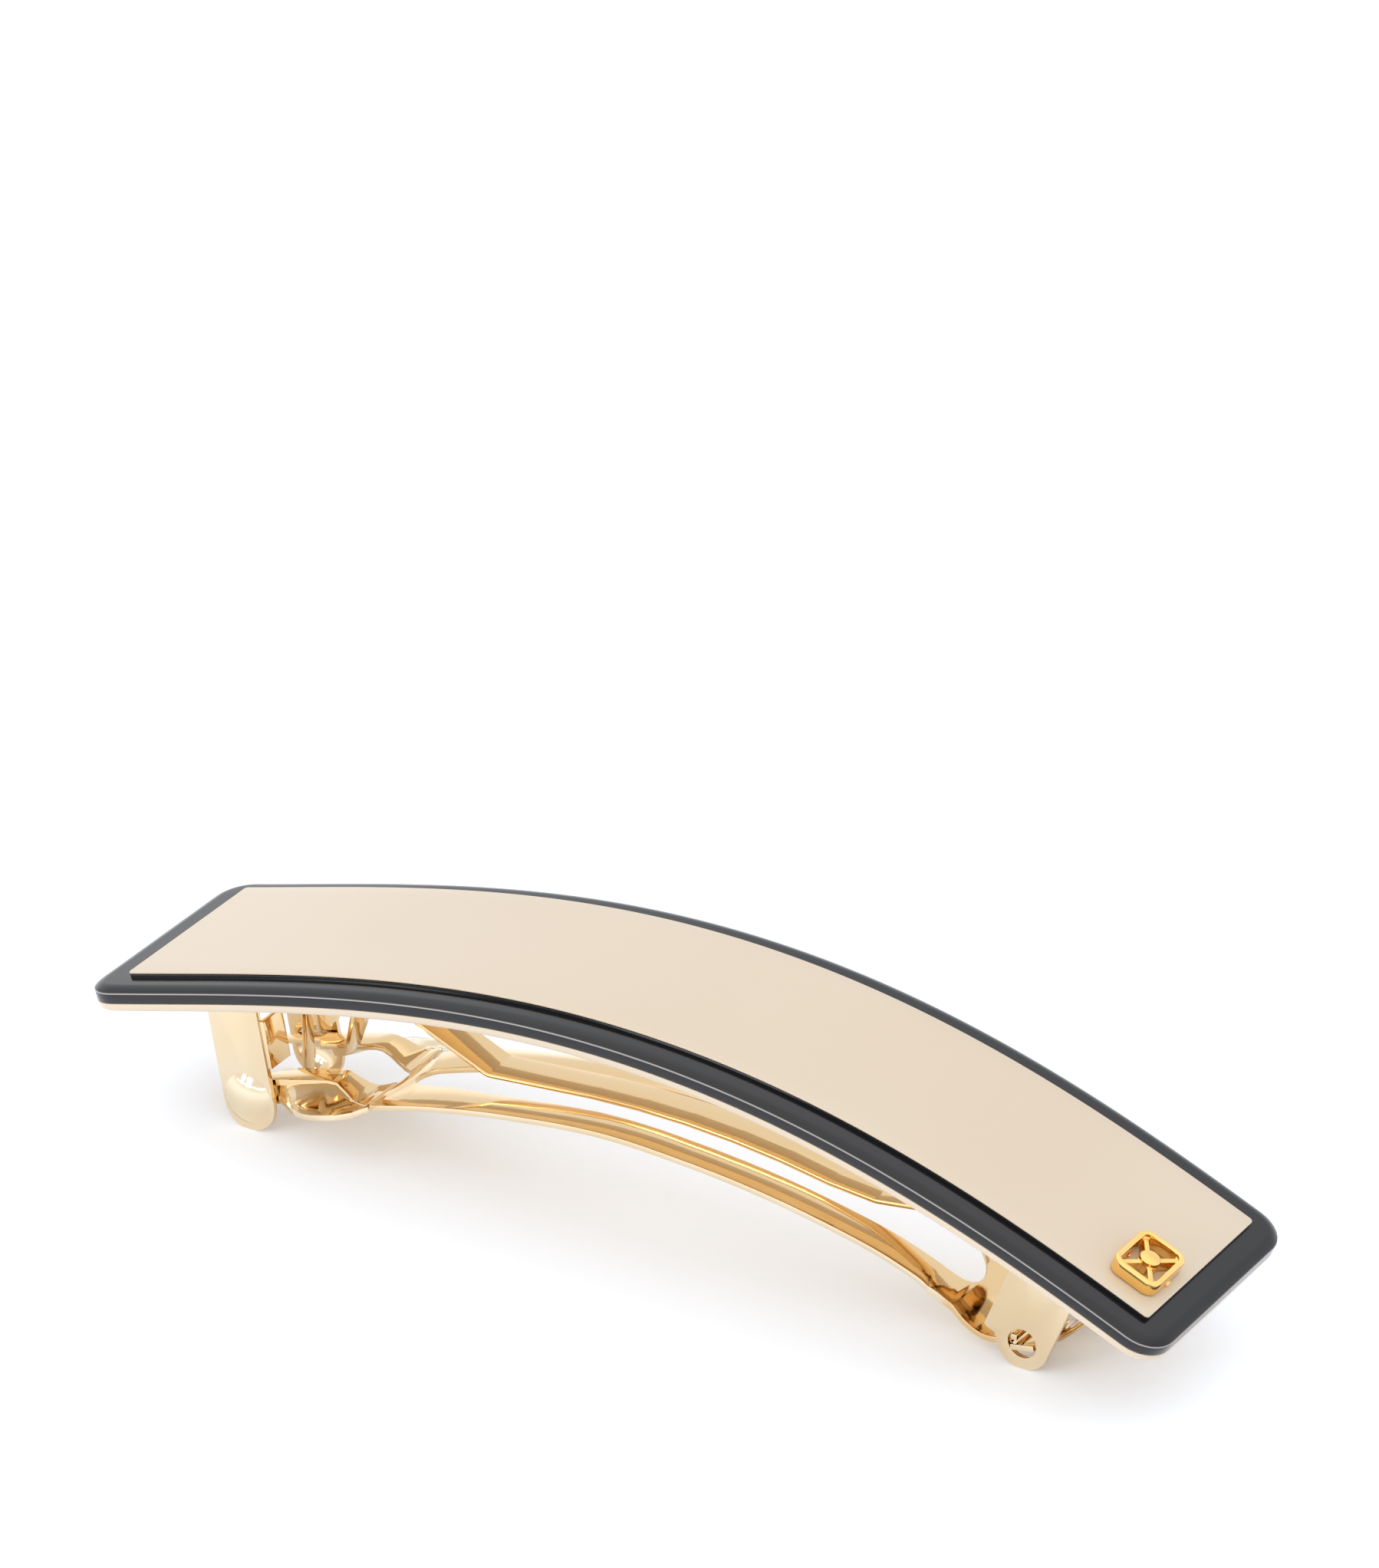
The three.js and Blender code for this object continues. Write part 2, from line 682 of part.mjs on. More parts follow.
// Middle of the spring in side view, from its bar in the hinge ears round to the tongue at the latch end.
function springLine() {
  const nearAxis = (x, z) => hingeAxis.clone().add(new THREE.Vector2(x, z));
  const points = [
    nearAxis(...springBarPlace),
    nearAxis(-1.3, -0.5),
    nearAxis(-0.75, -1.3),
    nearAxis(0.3, -1.55),
    nearAxis(1.4, -0.95),
    nearAxis(5.7, 3.2),
    nearAxis(5.9, 4.3),
    nearAxis(5.1, 5.1),
    high(39, 2.4),
    high(34, 2.5),
    low(21.7, 1.3),
    ...[17, 12, 7, 2, -3, -8, -13].map((along) => low(along, 0.75)),
    low(-18.8, 1.05),
    high(-30, 0.65),
    low(-34.1, 1.6),
  ];
  return bentLine(points, springBend);
}

function makeTensionSpring() {
  let spring = acrossY(ribbonShape(springLine(), springSheet), springWidth);
  const tongueTop = high(-30, 2.5);
  const tongueFoot = low(-34.1, 1.6);
  for (const side of [-1, 1]) {
    const wedge = new THREE.Shape();
    wedge.moveTo((side * springWidth) / 2, tongueTop.y);
    wedge.lineTo((side * springTongueTip) / 2, tongueFoot.y - 1);
    wedge.lineTo(side * springWidth, tongueFoot.y - 1);
    wedge.lineTo(side * springWidth, tongueTop.y);
    const geometry = new THREE.ExtrudeGeometry(wedge, { depth: 4, bevelEnabled: false });
    geometry.applyMatrix4(endViewAxes());
    geometry.translate(tongueFoot.x - 1, 0, 0);
    spring = spring.subtract(solid(geometry));
  }
  const bar = new THREE.BoxGeometry(springBarSize, clipWidth - 0.1, springBarSize);
  bar.translate(hingeAxis.x + springBarPlace[0], 0, hingeAxis.y + springBarPlace[1]);
  return spring.add(solid(bar));
}

// ---- Materials and assembly ----

const creamAcetate = { color: "#ece0cb", roughness: 0.28, metalness: 0 };
const blackAcetate = { color: "#26262a", roughness: 0.18, metalness: 0 };
const goldPlate = { color: "#e6cfa0", roughness: 0.25, metalness: 1 };
const badgeGold = { color: "#cf9a3c", roughness: 0.3, metalness: 1 };

const barrette = new THREE.Group();

function addPiece(name, body, finish) {
  const mesh = new THREE.Mesh(geometryOf(body), new THREE.MeshStandardMaterial(finish));
  mesh.name = name;
  barrette.add(mesh);
}

addPiece("top_panel", makeTopPanel(), creamAcetate);
addPiece("black_plate", makeBlackPlate(), blackAcetate);
addPiece("backing_layer", makeBackingLayer(), creamAcetate);
addPiece("badge", makeBadge(), badgeGold);
addPiece("base_strip", makeBaseStrip(), goldPlate);
rivetStations.forEach((along, i) => addPiece(`base_rivet_${i + 1}`, makeRivet(along), goldPlate));
addPiece("clasp_arm", makeClaspArm(), goldPlate);
addPiece("tension_spring", makeTensionSpring(), goldPlate);
addPiece("latch_prong_near", makeProng(-1), goldPlate);
addPiece("latch_prong_far", makeProng(1), goldPlate);

// The ears' tips stand on Z = 0 and the origin is under the middle of the length.
const extent = new THREE.Box3().setFromObject(barrette);
barrette.position.set(-(extent.min.x + extent.max.x) / 2, 0, -ground);

export default barrette;
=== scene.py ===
"""Barrette: laminated acetate on a gold-plated sprung clip. Metres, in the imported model's own frame."""

import json
import math

import bmesh
import bpy
from mathutils import Matrix, Vector


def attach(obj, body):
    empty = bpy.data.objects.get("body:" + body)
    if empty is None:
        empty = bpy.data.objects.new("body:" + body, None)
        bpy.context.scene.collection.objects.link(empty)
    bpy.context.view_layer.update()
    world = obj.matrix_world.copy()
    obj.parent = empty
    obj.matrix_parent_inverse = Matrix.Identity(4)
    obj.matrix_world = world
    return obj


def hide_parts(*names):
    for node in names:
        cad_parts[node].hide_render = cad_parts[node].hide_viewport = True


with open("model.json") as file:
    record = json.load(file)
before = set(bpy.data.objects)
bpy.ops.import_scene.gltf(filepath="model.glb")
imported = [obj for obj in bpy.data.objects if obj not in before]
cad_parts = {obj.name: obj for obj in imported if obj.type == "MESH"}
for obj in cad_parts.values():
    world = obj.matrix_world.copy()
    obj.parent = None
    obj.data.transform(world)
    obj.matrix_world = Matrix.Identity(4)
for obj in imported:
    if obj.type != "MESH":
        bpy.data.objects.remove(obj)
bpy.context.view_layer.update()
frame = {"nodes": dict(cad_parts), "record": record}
MM = 0.001

# ---- The bow: the bend that the acetate and the clip share ----

# Slope in degrees at the middle of the ornament and how it grows, per BOW_REACH of arc length.
BOW_REACH = 48.5 * MM
BOW_SLOPES = (0.68, 29.456, 3.405, -10.033)
BOW_MIDDLE = Vector((0.5266, 0.0, 21.8542)) * MM

# ---- Acetate layers ----

ORNAMENT_LENGTH = 102 * MM
ORNAMENT_WIDTH = 21.8 * MM
ORNAMENT_CORNER = 2.8 * MM
PANEL_MIDDLE = 0.4 * MM
PANEL_LENGTH = 96.2 * MM
PANEL_WIDTH = 17 * MM
PANEL_CORNER = 0.35 * MM
PANEL_THICKNESS = 0.15 * MM
PLATE_STEP = 0.25 * MM
PLATE_THICKNESS = 1.25 * MM
PLATE_WALL = 0.85 * MM
PLATE_SHOULDER = 1.1 * MM
PLATE_BREAK = 0.06 * MM
# Width of the painted highlight line at the top of the plate's wall.
PAINTED_HIGHLIGHT_WIDTH = 0.08 * MM
BACKING_THICKNESS = 0.8 * MM
GLUE_LINE = 0.05 * MM


def slope(along):
    """Slope of the bow at an arc distance from its middle, in radians, falling toward +X where positive."""
    t = along / BOW_REACH
    return math.radians(sum(value * t**power for power, value in enumerate(BOW_SLOPES)))


def on_bow(along, y, above):
    """Point at an arc distance along the bow, across it, and above the ornament's top face."""
    steps = 48
    point = BOW_MIDDLE.copy()
    for i in range(steps):
        angle = slope(along * (i + 0.5) / steps)
        point.x += math.cos(angle) * along / steps
        point.z -= math.sin(angle) * along / steps
    angle = slope(along)
    return point + Vector((above * math.sin(angle), y, above * math.cos(angle)))


# ---- Camera, floor and light ----

VIEW_AZIMUTH = 31.3
VIEW_ELEVATION = 27.431
VIEW_DISTANCE = 665.14 * MM
VIEW_AIM = Vector((-2.446, 6.501, 35.532)) * MM
VIEW_LENS = 195.34

# Sky colours by height, where 0.5 is the horizon and 1 is overhead. A cool, duller band lies
# over the horizon.
STUDIO_BANDS = (
    (0.0, "#ffffff"),
    (0.5, "#ffffff"),
    (0.6, "#dfe1e5"),
    (0.78, "#dfe1e5"),
    (0.9, "#ffffff"),
    (1.0, "#ffffff"),
)
STUDIO_LIGHT = 1.35
FLOOR_GLOW = 0.11
FLOOR_DROP = 0.02 * MM
FLOOR_REACH = 3.0


def make_camera():
    azimuth = math.radians(VIEW_AZIMUTH)
    elevation = math.radians(VIEW_ELEVATION)
    right = Vector((math.cos(azimuth), math.sin(azimuth), 0))
    level = Vector((math.sin(azimuth), -math.cos(azimuth), 0))
    back = level * math.cos(elevation) + Vector((0, 0, math.sin(elevation)))
    turn = Matrix((right, back.cross(right), back)).transposed()
    data = bpy.data.cameras.new("view")
    data.lens = VIEW_LENS
    data.sensor_width = 36
    data.sensor_fit = "AUTO"
    data.clip_start = 0.01
    camera = bpy.data.objects.new("view", data)
    camera.matrix_world = Matrix.Translation(VIEW_AIM + back * VIEW_DISTANCE) @ turn.to_4x4()
    bpy.context.collection.objects.link(camera)
    bpy.context.scene.camera = camera


def linear(hex_colour):
    """sRGB hex to linear RGBA."""
    values = [int(hex_colour[i : i + 2], 16) / 255 for i in (1, 3, 5)]
    return tuple(v / 12.92 if v <= 0.04045 else ((v + 0.055) / 1.055) ** 2.4 for v in values) + (1.0,)


def add(tree, kind, inputs=None, **settings):
    """Adds a node to a tree. inputs holds values, or sockets to link from, by input name or number."""
    node = tree.nodes.new(kind)
    for key, value in settings.items():
        setattr(node, key, value)
    for key, value in (inputs or {}).items():
        if isinstance(value, bpy.types.NodeSocket):
            tree.links.new(value, node.inputs[key])
        else:
            node.inputs[key].default_value = value
    return node


def new_material(name):
    """A material with a bare Principled shader."""
    material = bpy.data.materials.new(name)
    material.use_nodes = True
    tree = material.node_tree
    shader = next(node for node in tree.nodes if node.type == "BSDF_PRINCIPLED")
    return material, tree, shader


def ramp(tree, source, stops):
    """A colour ramp over a value: stops are (place, hex colour)."""
    node = add(tree, "ShaderNodeValToRGB", {"Fac": source})
    while len(node.color_ramp.elements) < len(stops):
        node.color_ramp.elements.new(1.0)
    for element, (place, colour) in zip(node.color_ramp.elements, stops):
        element.position = place
        element.color = linear(colour)
    return node.outputs["Color"]


def make_floor():
    """A pale sweep just under the ear tips."""
    bm = bmesh.new()
    bmesh.ops.create_grid(bm, x_segments=1, y_segments=1, size=FLOOR_REACH)
    mesh = bpy.data.meshes.new("floor")
    bm.to_mesh(mesh)
    bm.free()
    floor = bpy.data.objects.new("floor", mesh)
    floor.location.z = -FLOOR_DROP
    bpy.context.collection.objects.link(floor)
    material, tree, shader = new_material("white_sweep")
    shader.inputs["Base Color"].default_value = linear("#f3f8ff")
    shader.inputs["Roughness"].default_value = 0.9
    shader.inputs["Specular IOR Level"].default_value = 0.1
    # The sweep is a light table: a faint glow from below keeps the shadows thin.
    shader.inputs["Emission Color"].default_value = linear("#ffffff")
    shader.inputs["Emission Strength"].default_value = FLOOR_GLOW
    # Only the floor's upper side shows, so that the underside of the barrette can be looked at.
    side = add(tree, "ShaderNodeNewGeometry").outputs["Backfacing"]
    clear = add(tree, "ShaderNodeBsdfTransparent")
    one_sided = add(tree, "ShaderNodeMixShader", {0: side, 1: shader.outputs[0], 2: clear.outputs[0]})
    output = next(node for node in tree.nodes if node.type == "OUTPUT_MATERIAL")
    tree.links.new(one_sided.outputs[0], output.inputs["Surface"])
    mesh.materials.append(material)


def make_world():
    """A white studio with the duller band of its walls."""
    world = bpy.data.worlds.new("studio")
    bpy.context.scene.world = world
    world.use_nodes = True
    tree = world.node_tree
    background = next(node for node in tree.nodes if node.type == "BACKGROUND")
    place = add(tree, "ShaderNodeTexCoord")
    axes = add(tree, "ShaderNodeSeparateXYZ", {"Vector": place.outputs["Generated"]})
    height = add(tree, "ShaderNodeMapRange", {"Value": axes.outputs["Z"], "From Min": -1.0, "From Max": 1.0})
    colour = ramp(tree, height.outputs["Result"], STUDIO_BANDS)
    tree.links.new(colour, background.inputs["Color"])
    background.inputs["Strength"].default_value = STUDIO_LIGHT


def make_light(name, place, aim, size, power):
    data = bpy.data.lights.new(name, "AREA")
    data.shape = "RECTANGLE"
    data.size, data.size_y = size
    data.energy = power
    light = bpy.data.objects.new(name, data)
    light.location = place
    light.rotation_euler = (Vector(aim) - Vector(place)).to_track_quat("-Z", "Y").to_euler()
    bpy.context.collection.objects.link(light)


def make_lights():
    """A long low strip in front draws the lines along the edges, and two panes beside it make a window."""
    make_light("front_strip", (-0.3, -1.2, 0.3), (0, 0, 0), (2.4, 0.05), 1.2)
    make_light("left_pane", (-0.82, -0.92, 0.4), (0, 0, 0), (0.14, 0.3), 1.2)
    make_light("right_pane", (-0.46, -1.09, 0.4), (0, 0, 0), (0.24, 0.36), 2.4)


# ---- Materials ----


# Point attribute that marks where the black plate's edge gets a painted highlight line.
PAINTED_HIGHLIGHT = "painted_edge_highlight"

# Distances from the middle of the clip for a painted shade: up to the first, the inward face of an ear, the
# gold is painted deep, standing in for the shade and gold-on-gold reflections between the ears. Past the
# second, just inside an ear's outer face, it is pale.
PAINTED_SHADE_WITHIN = 4.75 * MM
PAINTED_SHADE_ENDS = 5.1 * MM

# Hairlines are stretched along X by these scales, in waves per metre.
ACETATE_SCUFFS = (60.0, 3000.0, 600.0)
ROLLING_LINES = (150.0, 6000.0, 1500.0)
SURFACE_RELIEF = 0.02 * MM


def mixed(tree, factor, first, second):
    """First colour mixed towards a second by a factor."""
    node = add(tree, "ShaderNodeMix", data_type="RGBA")
    factor_in, first_in, second_in = (node.inputs[i] for i in (0, 6, 7))
    tree.links.new(factor, factor_in)
    tree.links.new(first, first_in)
    second_in.default_value = second
    return node.outputs[2]


def object_coordinates(tree):
    return add(tree, "ShaderNodeTexCoord").outputs["Object"]


def acetate(name, pale, deep, speck, speck_share, roughness, coat, highlight_colour=None):
    """Polished cellulose acetate.

    A clear gloss lies over a colour that drifts slightly, with dust and hairline scuffs. The last
    argument, when given, is the colour of a painted highlight: a pale line where the marking attribute is
    set, standing in for the glint of light along the plate's edge.
    """
    material, tree, shader = new_material(name)
    place = object_coordinates(tree)
    # Pigment drifts over about 25 mm, as it does in pressed sheet.
    drift = add(tree, "ShaderNodeTexNoise", {"Vector": place, "Scale": 40.0, "Detail": 2.0, "Roughness": 0.4})
    colour = ramp(tree, drift.outputs["Fac"], ((0.3, deep), (0.7, pale)))
    # Dust specks about 0.15 mm across, one every few millimetres.
    dust = add(tree, "ShaderNodeTexVoronoi", {"Vector": place, "Scale": 260.0, "Randomness": 1.0})
    limits = {"From Min": 0.02, "From Max": 0.05, "To Min": 1.0, "To Max": 0.0}
    spot = add(tree, "ShaderNodeMapRange", {"Value": dust.outputs["Distance"], **limits})
    chance = add(tree, "ShaderNodeSeparateColor", {"Color": dust.outputs["Color"]}).outputs["Red"]
    chosen = add(tree, "ShaderNodeMath", {0: chance, 1: 1.0 - speck_share}, operation="GREATER_THAN")
    shown = add(tree, "ShaderNodeMath", {0: spot.outputs[0], 1: chosen.outputs[0]}, operation="MULTIPLY")
    colour = mixed(tree, shown.outputs[0], colour, linear(speck))
    if highlight_colour:
        # Painted highlight: a paler line along the crisp edge of the wall, standing in for the glint of light
        # there.
        highlight_mask = add(tree, "ShaderNodeAttribute", attribute_name=PAINTED_HIGHLIGHT)
        colour = mixed(tree, highlight_mask.outputs["Fac"], colour, linear(highlight_colour))
    tree.links.new(colour, shader.inputs["Base Color"])
    # Hairline polishing scuffs run along the piece, 0.3 mm apart.
    stretched = add(tree, "ShaderNodeMapping", {"Vector": place, "Scale": ACETATE_SCUFFS}).outputs["Vector"]
    scuffs = add(tree, "ShaderNodeTexNoise", {"Vector": stretched, "Scale": 1.0, "Detail": 3.0})
    limits = {"From Min": 0.3, "From Max": 0.7, "To Min": roughness * 0.95, "To Max": roughness * 1.05}
    gloss = add(tree, "ShaderNodeMapRange", {"Value": scuffs.outputs["Fac"], **limits})
    tree.links.new(gloss.outputs["Result"], shader.inputs["Roughness"])
    # Tumble polishing leaves a soft orange peel, waves about 6 mm long.
    peel = add(tree, "ShaderNodeTexNoise", {"Vector": place, "Scale": 160.0, "Detail": 1.0})
    relief = {"Height": peel.outputs["Fac"], "Distance": SURFACE_RELIEF, "Strength": 0.25}
    bump = add(tree, "ShaderNodeBump", relief)
    tree.links.new(bump.outputs["Normal"], shader.inputs["Normal"])
    shader.inputs["IOR"].default_value = 1.48
    shader.inputs["Coat Weight"].default_value = coat
    shader.inputs["Coat Roughness"].default_value = 0.06
    return material


def make_plating(name, pale, deep, roughness, painted_shade_gold=None):
    """Bright gold plate over stamped steel, nearly a mirror, with faint rolling lines along the sheet.

    The last argument, when given, is a deeper gold painted between the ears as painted shade.
    """
    material, tree, shader = new_material(name)
    place = object_coordinates(tree)
    # Plating is a shade redder where it lies thin, over patches about 8 mm long.
    patch = add(tree, "ShaderNodeTexNoise", {"Vector": place, "Scale": 120.0, "Detail": 2.0})
    colour = ramp(tree, patch.outputs["Fac"], ((0.35, deep), (0.65, pale)))
    if painted_shade_gold:
        # Painted shade: the gold is painted deeper between the ears, standing in for the shade and
        # gold-on-gold reflections there; the outer faces keep the paler gold.
        across = add(tree, "ShaderNodeSeparateXYZ", {"Vector": place}).outputs["Y"]
        reach = add(tree, "ShaderNodeMath", {0: across}, operation="ABSOLUTE").outputs[0]
        limits = {"From Min": PAINTED_SHADE_WITHIN, "From Max": PAINTED_SHADE_ENDS, "To Min": 1.0, "To Max": 0.0}
        shade_share = add(tree, "ShaderNodeMapRange", {"Value": reach, **limits}).outputs["Result"]
        colour = mixed(tree, shade_share, colour, linear(painted_shade_gold))
    tree.links.new(colour, shader.inputs["Base Color"])
    # Rolling lines 0.15 mm apart run along the strip, drawn coarser than real ones so that they show.
    stretched = add(tree, "ShaderNodeMapping", {"Vector": place, "Scale": ROLLING_LINES}).outputs["Vector"]
    lines = add(tree, "ShaderNodeTexNoise", {"Vector": stretched, "Scale": 1.0, "Detail": 2.0})
    limits = {"From Min": 0.3, "From Max": 0.7, "To Min": roughness * 0.7, "To Max": roughness * 1.5}
    gloss = add(tree, "ShaderNodeMapRange", {"Value": lines.outputs["Fac"], **limits})
    tree.links.new(gloss.outputs["Result"], shader.inputs["Roughness"])
    # Pressing leaves the sheet softly uneven, waves about 3 mm long.
    uneven = add(tree, "ShaderNodeTexNoise", {"Vector": place, "Scale": 330.0, "Detail": 1.0})
    relief = {"Height": uneven.outputs["Fac"], "Distance": SURFACE_RELIEF, "Strength": 0.12}
    bump = add(tree, "ShaderNodeBump", relief)
    tree.links.new(bump.outputs["Normal"], shader.inputs["Normal"])
    shader.inputs["Metallic"].default_value = 1.0
    return material


# ---- Mesh helpers ----


def new_object(name, mesh, material):
    mesh.materials.clear()
    mesh.materials.append(material)
    piece = bpy.data.objects.new(name, mesh)
    bpy.context.collection.objects.link(piece)
    return piece


def baked(piece, name):
    """The piece with its modifiers applied, as a plain mesh object of that name."""
    bpy.context.view_layer.update()
    evaluated = piece.evaluated_get(bpy.context.evaluated_depsgraph_get())
    mesh = bpy.data.meshes.new_from_object(evaluated)
    bpy.data.objects.remove(piece)
    mesh.name = name
    result = bpy.data.objects.new(name, mesh)
    bpy.context.collection.objects.link(result)
    return result


def settle(piece, body, slot, *nodes):
    """Puts a finished piece on its body and lets it stand for CAD nodes, which it hides. slot is not used."""
    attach(piece, body)
    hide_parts(*nodes)


def block_mesh(name, counts, place):
    """A closed block of quads. place(i, j, k) gives the point at each step along, across and up."""
    bm = bmesh.new()
    seen = {}

    def at(*step):
        if step not in seen:
            seen[step] = bm.verts.new(place(*step))
        return seen[step]

    nx, ny, nz = counts
    for k in (0, nz):
        for i in range(nx):
            for j in range(ny):
                bm.faces.new((at(i, j, k), at(i + 1, j, k), at(i + 1, j + 1, k), at(i, j + 1, k)))
    for j in (0, ny):
        for i in range(nx):
            for k in range(nz):
                bm.faces.new((at(i, j, k), at(i + 1, j, k), at(i + 1, j, k + 1), at(i, j, k + 1)))
    for i in (0, nx):
        for j in range(ny):
            for k in range(nz):
                bm.faces.new((at(i, j, k), at(i, j + 1, k), at(i, j + 1, k + 1), at(i, j, k + 1)))
    bmesh.ops.recalc_face_normals(bm, faces=bm.faces)
    for face in bm.faces:
        face.smooth = True
    mesh = bpy.data.meshes.new(name)
    bm.to_mesh(mesh)
    bm.free()
    return mesh


# ---- Acetate layers, bent along the bow by Geometry Nodes ----


def make_bow():
    """The bow as a curve object: the tree below bends the flat layers onto it."""
    reach = 64 * MM
    count = 256
    data = bpy.data.curves.new("bow", "CURVE")
    data.dimensions = "3D"
    spline = data.splines.new("POLY")
    spline.points.add(count)
    for i, point in enumerate(spline.points):
        point.co = (*on_bow(-reach + 2 * reach * i / count, 0, 0), 1)
    bow = bpy.data.objects.new("bow", data)
    bpy.context.collection.objects.link(bow)
    return bow, reach


def bend_tree():
    """Geometry Nodes tree: X is distance along the bow, Z is height above it."""
    tree = bpy.data.node_groups.new("bend_along_bow", "GeometryNodeTree")
    tree.interface.new_socket("Geometry", in_out="INPUT", socket_type="NodeSocketGeometry")
    tree.interface.new_socket("Bow", in_out="INPUT", socket_type="NodeSocketObject")
    tree.interface.new_socket("Middle Of Bow", in_out="INPUT", socket_type="NodeSocketFloat")
    tree.interface.new_socket("Material", in_out="INPUT", socket_type="NodeSocketMaterial")
    tree.interface.new_socket("Geometry", in_out="OUTPUT", socket_type="NodeSocketGeometry")
    given = add(tree, "NodeGroupInput")
    bow = add(tree, "GeometryNodeObjectInfo", {"Object": given.outputs["Bow"]})
    flat = add(tree, "ShaderNodeSeparateXYZ", {"Vector": add(tree, "GeometryNodeInputPosition").outputs[0]})
    middle = given.outputs["Middle Of Bow"]
    along = add(tree, "ShaderNodeMath", {0: flat.outputs["X"], 1: middle}, operation="ADD")
    curve = {"Curves": bow.outputs["Geometry"]}
    sample = add(tree, "GeometryNodeSampleCurve", curve, mode="LENGTH", use_all_curves=True)
    tree.links.new(along.outputs[0], sample.inputs["Length"])
    across = (0.0, 1.0, 0.0)
    tangent = sample.outputs["Tangent"]
    upward = add(tree, "ShaderNodeVectorMath", {0: tangent, 1: across}, operation="CROSS_PRODUCT")
    upward = add(tree, "ShaderNodeVectorMath", {0: upward.outputs[0]}, operation="NORMALIZE")
    raised = add(tree, "ShaderNodeVectorMath", {0: upward.outputs[0]}, operation="SCALE")
    tree.links.new(flat.outputs["Z"], raised.inputs["Scale"])
    sideways = add(tree, "ShaderNodeCombineXYZ", {"Y": flat.outputs["Y"]})
    on_curve = sample.outputs["Position"]
    place = add(tree, "ShaderNodeVectorMath", {0: on_curve, 1: raised.outputs[0]}, operation="ADD")
    place = add(tree, "ShaderNodeVectorMath", {0: place.outputs[0], 1: sideways.outputs[0]}, operation="ADD")
    bent = {"Geometry": given.outputs["Geometry"], "Position": place.outputs[0]}
    moved = add(tree, "GeometryNodeSetPosition", bent)
    real = add(tree, "GeometryNodeRealizeInstances", {0: moved.outputs[0]})
    finish = {"Geometry": real.outputs[0], "Material": given.outputs["Material"]}
    dressed = add(tree, "GeometryNodeSetMaterial", finish)
    add(tree, "NodeGroupOutput", {"Geometry": dressed.outputs[0]})
    return tree


def give_inputs(modifier, values):
    """Sets a Geometry Nodes modifier's inputs by their names."""
    for item in modifier.node_group.interface.items_tree:
        if item.in_out == "INPUT" and item.name in values:
            modifier[item.identifier] = values[item.name]


def edge_levels(bottom, top, foot, shoulder, steps):
    """(height, inset) of an edge whose foot and shoulder are quarter circles, from the bottom up."""
    turns = [math.pi / 2 * i / steps for i in range(steps + 1)]
    lower = [(bottom + foot * (1 - math.cos(t)), foot * (1 - math.sin(t))) for t in turns]
    upper = [(top - shoulder * (1 - math.sin(t)), shoulder * (1 - math.cos(t))) for t in turns]
    return lower + upper


def plate_levels(bottom, rim):
    """The black plate's edge: an upright wall that meets a long low shoulder at a crisp line."""
    turn = 2 * math.atan2(PLATE_THICKNESS - PLATE_WALL, PLATE_SHOULDER)
    radius = PLATE_SHOULDER / math.sin(turn)
    wall_top = bottom + PLATE_WALL
    levels = [(bottom, PLATE_BREAK), (bottom + PLATE_BREAK / 3, PLATE_BREAK / 3), (bottom + PLATE_BREAK, 0.0)]
    # Loops just under the top of the wall bound the painted highlight line.
    levels += [(wall_top - PAINTED_HIGHLIGHT_WIDTH, 0.0), (wall_top - PAINTED_HIGHLIGHT_WIDTH / 2, 0.0)]
    for share in (0, 0.08, 0.16, 0.3, 0.4, 0.5, 0.6, 0.7, 0.8, 0.9, 1):
        angle = turn * (1 - share)
        levels.append((rim - radius * (1 - math.cos(angle)), PLATE_SHOULDER - radius * math.sin(angle)))
    return levels


def mark_painted_highlight(mesh, height):
    """Marks the points within about half the painted highlight line's width of a height, where the material
    paints that highlight.
    """
    reach = 0.6 * PAINTED_HIGHLIGHT_WIDTH
    values = [float(abs(vertex.co.z - height) < reach) for vertex in mesh.vertices]
    mesh.attributes.new(PAINTED_HIGHLIGHT, "FLOAT", "POINT").data.foreach_set("value", values)


def layer_mesh(name, length, width, corner, levels, middle=0.0):
    """A flat slab with rounded plan corners, ready to be bent."""
    straight, arc, across = 180, 8, 12
    columns = straight + 2 * arc

    def place(i, j, k):
        above, inset = levels[k]
        column = i - columns / 2
        turn = max(abs(column) - straight / 2, 0) / arc * math.pi / 2
        reach = min(abs(column) / (straight / 2), 1) * (length / 2 - corner)
        x = middle + math.copysign(reach + (corner - inset) * math.sin(turn), column)
        half = width / 2 - corner + (corner - inset) * math.cos(turn)
        return (x, (2 * j / across - 1) * half, above)

    return block_mesh(name, (columns, across, len(levels) - 1), place)


